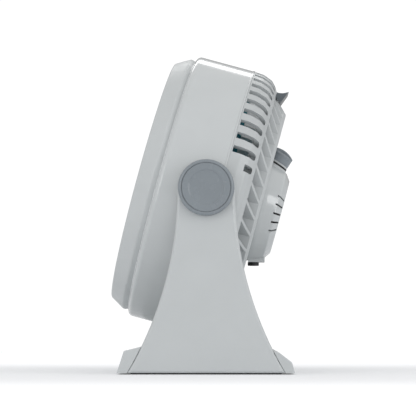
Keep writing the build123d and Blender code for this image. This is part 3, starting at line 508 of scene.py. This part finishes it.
@dataclass
class ClampKnob:
    """The big round knob on each side: a fluted rim, a rounded shoulder, a groove and a dished face."""

    paint: Paintbox
    axis_height: float = AXIS_HEIGHT
    back: float = 168.3 * MM
    face: float = 178.3 * MM
    radius: float = 29.5 * MM
    shoulder: float = 3.0 * MM
    groove_width: float = 0.8 * MM
    groove_depth: float = 1.3 * MM
    dish_depth: float = 0.3 * MM
    dish_radius: float = 18.0 * MM
    dish_slope: float = 2.4 * MM
    step_depth: float = 1.2 * MM
    stud_radius: float = 4.02 * MM
    bore_end: float = 175.3 * MM
    flutes: int = 90
    flute_depth: float = 0.22 * MM
    segments: int = 360

    def outline(self) -> list[tuple[float, float]]:
        """Return the knob's half section as (along, radius) points, from its bore round to its centre."""
        wall = self.radius - self.flute_depth
        shoulder = arc_points((self.face - self.shoulder, wall - self.shoulder), self.shoulder, 90, 0, 8)
        groove = wall - self.shoulder - 0.2 * MM
        floor = self.face - self.dish_depth
        inner = floor - self.step_depth
        points = [(self.bore_end, 0.0), (self.bore_end, self.stud_radius), (self.back, self.stud_radius)]
        points += [(self.back, wall - 0.6 * MM), (self.back + 0.6 * MM, wall), (self.back + 1.2 * MM, wall)]
        points += [(self.face - self.shoulder - 0.6 * MM, wall)] + shoulder
        points += [(self.face - 0.15 * MM, groove), (self.face - self.groove_depth, groove - 0.1 * MM)]
        points += [(self.face - self.groove_depth, groove - self.groove_width)]
        points += [(floor, groove - self.groove_width - 0.2 * MM)]
        steps = 6
        for step in range(steps + 1):
            part = step / steps
            fall = self.step_depth * (1 - math.cos(math.pi * part)) / 2
            points.append((floor - fall, self.dish_radius + self.dish_slope * (0.5 - part)))
        points += [(inner, 11.0 * MM), (inner + 0.12 * MM, 6.0 * MM), (inner + 0.15 * MM, 0.0)]
        return points

    def build(self) -> None:
        """Build both knobs, the left one as the right one's mirror image."""
        for side, word in ((1, "right"), (-1, "left")):
            mesh = bmesh.new()
            lathe(mesh, self.outline(), self.segments, {5: self.flute_depth, 6: self.flute_depth}, self.flutes)
            place = Matrix.Translation((0, 0, self.axis_height)) @ Matrix.Diagonal((side, 1, 1, 1))
            MeshPiece(self.paint).add(
                f"{word}_clamp_knob", mesh, Finish.KNOB, f"{word}_clamp", "knob_plastic", place,
                (f"{word}_tilt_knob", f"{word}_knob_cap"),
            )


@dataclass
class HeadTrim:
    """Small details of the head: the seam bead, paler than the drum as a painted highlight, the dial's dots and
    pointer, and black sheets behind the vents as painted shade.
    """

    paint: Paintbox
    axis_height: float = AXIS_HEIGHT
    seam: tuple[float, float] = (-52.0 * MM, 143.9 * MM)
    bead: float = 0.65 * MM
    dial_centre: tuple[float, float] = (62.0 * MM, 53.6 * MM)
    dial_tilt: float = math.radians(17.3)
    dot_circle: float = 15.9 * MM
    dot_radius: tuple[float, ...] = (0.45 * MM, 0.6 * MM, 0.75 * MM, 0.9 * MM)
    dot_height: float = 0.25 * MM
    click: float = math.radians(45)
    grip_crest: float = 21.2 * MM
    grip_arch: float = 24.94 * MM
    pointer_reach: tuple[float, float] = (4.0 * MM, 12.2 * MM)
    pointer_width: float = 1.4 * MM
    ink: float = 0.12 * MM
    # Painted shade: the black sheets that darken the vents.
    shade_sheet_radius: float = 47.0 * MM
    shade_sheet_spread: float = math.radians(64)
    shade_sheet_span: tuple[float, float] = (62.0 * MM, 75.5 * MM)
    shade_sheet_wall: float = 0.5 * MM

    def place(self) -> Matrix:
        """Return the head's own frame: its axis along Y, its upright along Z."""
        return Matrix.Translation((0, 0, self.axis_height)) @ Matrix.Rotation(-REST_TILT, 4, "X")

    def dial_place(self) -> Matrix:
        """Return the speed dial's frame, with Z along the dial's axis."""
        shift = Matrix.Translation((0, *self.dial_centre))
        return self.place() @ shift @ Matrix.Rotation(-self.dial_tilt, 4, "X")

    def seam_bead(self) -> None:
        """Build the thin polished bead where the front bezel meets the drum, its paler colour a painted highlight.
        """
        mesh = bmesh.new()
        outline = arc_points(self.seam, self.bead, 0, 360, 12)
        lathe(mesh, outline, 256)
        turn = Matrix.Rotation(math.pi / 2, 4, "Z")
        MeshPiece(self.paint).add(
            "drum_seam_bead", mesh, Finish.LIP_PAINTED_HIGHLIGHT, "head", "housing_plastic", self.place() @ turn,
            sharp_angle=math.pi,
        )

    def dial_dots(self) -> None:
        """Build the four raised dots beside the speed knob, which grow with the speed."""
        mesh = bmesh.new()
        for number, radius in enumerate(self.dot_radius):
            turn = math.pi / 2 + self.click * number
            spot = Matrix.Translation((self.dot_circle * math.cos(turn), self.dot_circle * math.sin(turn), 0))
            shape = spot @ Matrix.Diagonal((radius, radius, self.dot_height, 1))
            bmesh.ops.create_uvsphere(mesh, u_segments=24, v_segments=12, radius=1.0, matrix=shape)
        MeshPiece(self.paint).add(
            "dial_dots", mesh, Finish.PAINT, "head", "housing_plastic", self.dial_place(), sharp_angle=math.pi
        )

    def pointer(self) -> None:
        """Build the white line along the speed knob's arched grip."""
        mesh = bmesh.new()
        steps = 14
        start, end = self.pointer_reach
        sections = []
        for step in range(steps + 1):
            along = start + (end - start) * step / steps
            crest = self.grip_crest - self.grip_arch + math.sqrt(self.grip_arch**2 - along**2)
            half = self.pointer_width / 2 * math.sin(math.pi * (0.12 + 0.76 * step / steps)) ** 0.35
            low, high = crest - self.ink, crest + self.ink / 2
            corners = [(-half, low), (half, low), (half, high), (-half, high)]
            sections.append([mesh.verts.new((across, along, height)) for across, height in corners])
        close_bar(mesh, sections)
        MeshPiece(self.paint).add(
            "dial_pointer", mesh, Finish.PAINT, "speed_dial", "knob_plastic", self.dial_place()
        )

    def painted_shade_vent_sheets(self) -> None:
        """Build the curved black sheets inside the motor cover behind its vents: painted shade that makes the
        vents read as dark slits.
        """
        mesh = bmesh.new()
        steps = 24
        for side in (0.0, math.pi):
            walls = []
            for step in range(steps + 1):
                turn = side + self.shade_sheet_spread * (step / steps - 0.5)
                ring = []
                for radius in (self.shade_sheet_radius, self.shade_sheet_radius - self.shade_sheet_wall):
                    for along in self.shade_sheet_span:
                        ring.append(mesh.verts.new((radius * math.cos(turn), along, radius * math.sin(turn))))
                walls.append([ring[0], ring[1], ring[3], ring[2]])
            close_bar(mesh, walls)
        MeshPiece(self.paint).add("painted_shade_vent_sheets", mesh, Finish.PAINTED_SHADE, "head", "black_plastic", self.place())

    def build(self) -> None:
        """Build every detail of the head."""
        self.seam_bead()
        self.dial_dots()
        self.pointer()
        self.painted_shade_vent_sheets()


# ---- Studio ----
@dataclass(frozen=True)
class Softbox:
    """One rectangular lamp: its centre and its width and height in metres, and its power in watts."""

    name: str
    place: tuple[float, float, float]
    size: tuple[float, float]
    power: float


@dataclass
class Studio:
    """A pale floor with a painted shadow strip beside the fan, a white room with one darker wall, and soft lamps
    round the fan.
    """

    floor_radius: float = 2.2
    floor_colour: str = "f0f1f3"
    floor_lift: float = 0.30
    # Painted shadow: a strip of floor beside the fan gets a weaker camera-only lift, so it shows grey like the
    # fan's soft shadow.
    painted_shadow_middle: float = 0.10
    painted_shadow_reach: float = 0.20
    painted_shadow_fade: float = 0.35
    painted_shadow_lift: float = 0.14
    room_strength: float = 0.80
    wall_strength: float = 0.42
    wall_side: tuple[float, float] = (-0.1, -0.6)
    wall_top: tuple[float, float] = (0.50, 0.34)
    softboxes: tuple[Softbox, ...] = (
        Softbox("back_softbox", (-1.9, 0.0, 1.75), (1.7, 0.50), 5.0),
        Softbox("front_strip", (1.55, -1.15, 0.45), (0.40, 1.1), 4.5),
        Softbox("rear_strip", (1.15, 1.50, 0.45), (0.45, 1.1), 5.5),
    )
    lamp_aim: tuple[float, float, float] = (0.0, 0.0, 0.19)
    lens_mm: float = 174.8
    camera_place: tuple[float, float, float] = (2.262, 0.025, 0.0513)
    camera_aim: tuple[float, float, float] = (0.0, 0.0, 0.1823)

    def floor(self) -> None:
        """Lay the floor as a thin sheet that fades out before the horizon."""
        mesh = bpy.data.meshes.new("studio_floor")
        builder = bmesh.new()
        bmesh.ops.create_circle(builder, cap_ends=True, segments=64, radius=self.floor_radius)
        builder.to_mesh(mesh)
        builder.free()
        floor = bpy.data.objects.new("studio_floor", mesh)
        bpy.context.scene.collection.objects.link(floor)
        mesh.materials.append(self._paper())

    def _paper(self) -> bpy.types.Material:
        """Return the floor's matt paper: a grey strip of painted shadow beside the fan, and overexposed farther
        out.
        """
        paint = bpy.data.materials.new("studio_paper")
        paint.use_nodes = True
        tree = paint.node_tree
        tree.nodes.clear()
        place = add_node(tree, "ShaderNodeTexCoord")
        reach = add_node(tree, "ShaderNodeVectorMath", {"operation": "LENGTH"}, {0: place.outputs["Object"]})
        fade = add_node(
            tree, "ShaderNodeMapRange",
            {"interpolation_type": "SMOOTHSTEP",
             "From Min": self.floor_radius * 0.55, "From Max": self.floor_radius},
            {"Value": reach.outputs["Value"]},
        )
        matt = add_node(tree, "ShaderNodeBsdfDiffuse", {"Color": linear(self.floor_colour)})
        split = add_node(tree, "ShaderNodeSeparateXYZ", links={0: place.outputs["Object"]})
        across = add_node(
            tree, "ShaderNodeMath", {"operation": "SUBTRACT", 1: self.painted_shadow_middle}, {0: split.outputs["X"]}
        )
        away = add_node(tree, "ShaderNodeMath", {"operation": "ABSOLUTE"}, {0: across.outputs[0]})
        # Painted shadow: the lift falls to its low value in the strip beside the fan.
        lift_with_painted_shadow = add_node(
            tree, "ShaderNodeMapRange",
            {"interpolation_type": "SMOOTHSTEP", "From Min": self.painted_shadow_reach,
             "From Max": self.painted_shadow_reach + self.painted_shadow_fade, "To Min": self.painted_shadow_lift, "To Max": self.floor_lift},
            {"Value": away.outputs[0]},
        )
        lift = add_node(tree, "ShaderNodeEmission", {"Color": (1, 1, 1, 1)}, {"Strength": lift_with_painted_shadow.outputs[0]})
        seen = add_node(tree, "ShaderNodeLightPath")
        lifted = add_node(tree, "ShaderNodeAddShader", links={0: matt.outputs[0], 1: lift.outputs[0]})
        paper = add_node(
            tree, "ShaderNodeMixShader",
            links={0: seen.outputs["Is Camera Ray"], 1: matt.outputs[0], 2: lifted.outputs[0]},
        )
        clear = add_node(tree, "ShaderNodeBsdfTransparent")
        mixed = add_node(
            tree, "ShaderNodeMixShader", links={0: fade.outputs[0], 1: paper.outputs[0], 2: clear.outputs[0]}
        )
        add_node(tree, "ShaderNodeOutputMaterial", links={"Surface": mixed.outputs[0]})
        return paint

    def camera(self) -> None:
        """Place the camera far to the fan's side, close to the floor."""
        data = bpy.data.cameras.new("camera")
        data.lens = self.lens_mm
        data.sensor_width = 36.0
        data.clip_end = 100.0
        item = bpy.data.objects.new("camera", data)
        item.location = self.camera_place
        look = Vector(self.camera_aim) - Vector(self.camera_place)
        item.rotation_euler = look.to_track_quat("-Z", "Y").to_euler()
        bpy.context.scene.collection.objects.link(item)
        bpy.context.scene.camera = item

    def lamp(self, box: Softbox) -> None:
        """Add one softbox that faces the fan.

        Args:
            box: the lamp's place, size and power.
        """
        data = bpy.data.lights.new(box.name, "AREA")
        data.shape = "RECTANGLE"
        data.size, data.size_y = box.size
        data.energy = box.power
        item = bpy.data.objects.new(box.name, data)
        item.location = box.place
        look = Vector(self.lamp_aim) - Vector(box.place)
        item.rotation_euler = look.to_track_quat("-Z", "Y").to_euler()
        bpy.context.scene.collection.objects.link(item)

    def room(self) -> None:
        """Make the room: white to look at, darker downwards for the light, with a dim wall on the far side."""
        world = bpy.data.worlds.new("white_room")
        world.use_nodes = True
        bpy.context.scene.world = world
        tree = world.node_tree
        tree.nodes.clear()
        place = add_node(tree, "ShaderNodeTexCoord")
        split = add_node(tree, "ShaderNodeSeparateXYZ", links={0: place.outputs["Generated"]})
        rise = add_node(
            tree, "ShaderNodeMapRange", {"From Min": -0.5, "From Max": 1.0}, {"Value": split.outputs["Z"]}
        )
        sky = ramp(
            tree, rise.outputs[0],
            [(0.2, (0.58, 0.58, 0.58, 1)), (0.45, (0.86, 0.86, 0.86, 1)), (1.0, (1, 1, 1, 1))],
        )
        behind = add_node(
            tree, "ShaderNodeMapRange",
            {"interpolation_type": "SMOOTHSTEP", "From Min": self.wall_side[0], "From Max": self.wall_side[1]},
            {"Value": split.outputs["X"]},
        )
        low = add_node(
            tree, "ShaderNodeMapRange",
            {"interpolation_type": "SMOOTHSTEP", "From Min": self.wall_top[0], "From Max": self.wall_top[1]},
            {"Value": split.outputs["Z"]},
        )
        shadow = add_node(
            tree, "ShaderNodeMath", {"operation": "MULTIPLY"}, {0: behind.outputs[0], 1: low.outputs[0]}
        )
        dim = add_node(
            tree, "ShaderNodeMapRange", {"To Min": self.room_strength, "To Max": self.wall_strength},
            {"Value": shadow.outputs[0]},
        )
        soft = add_node(
            tree, "ShaderNodeBackground", links={"Color": sky.outputs[0], "Strength": dim.outputs[0]}
        )
        white = add_node(tree, "ShaderNodeBackground", {"Color": (1, 1, 1, 1), "Strength": 1.05})
        seen = add_node(tree, "ShaderNodeLightPath")
        mix = add_node(
            tree, "ShaderNodeMixShader",
            links={0: seen.outputs["Is Camera Ray"], 1: soft.outputs[0], 2: white.outputs[0]},
        )
        add_node(tree, "ShaderNodeOutputWorld", links={"Surface": mix.outputs[0]})

    def build(self) -> None:
        """Build the floor, the room, the lamps and the camera."""
        self.camera()
        self.floor()
        self.room()
        for box in self.softboxes:
            self.lamp(box)
        bpy.context.scene.view_settings.view_transform = "Standard"
        LOG.info("studio ready")


def corners(bounds: tuple) -> list[list[float]]:
    """Return a pair of corners as plain lists."""
    return [[float(value) for value in corner] for corner in bounds]


def main() -> None:
    """Load the fan, dress it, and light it."""
    logging.basicConfig(level=logging.INFO, format="%(message)s")
    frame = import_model()
    paint = Paintbox()
    Studio().build()
    CarriedNodes(paint).dress(frame["nodes"])
    ClampKnob(paint).build()
    HeadTrim(paint).build()


if __name__ == "__main__":
    main()
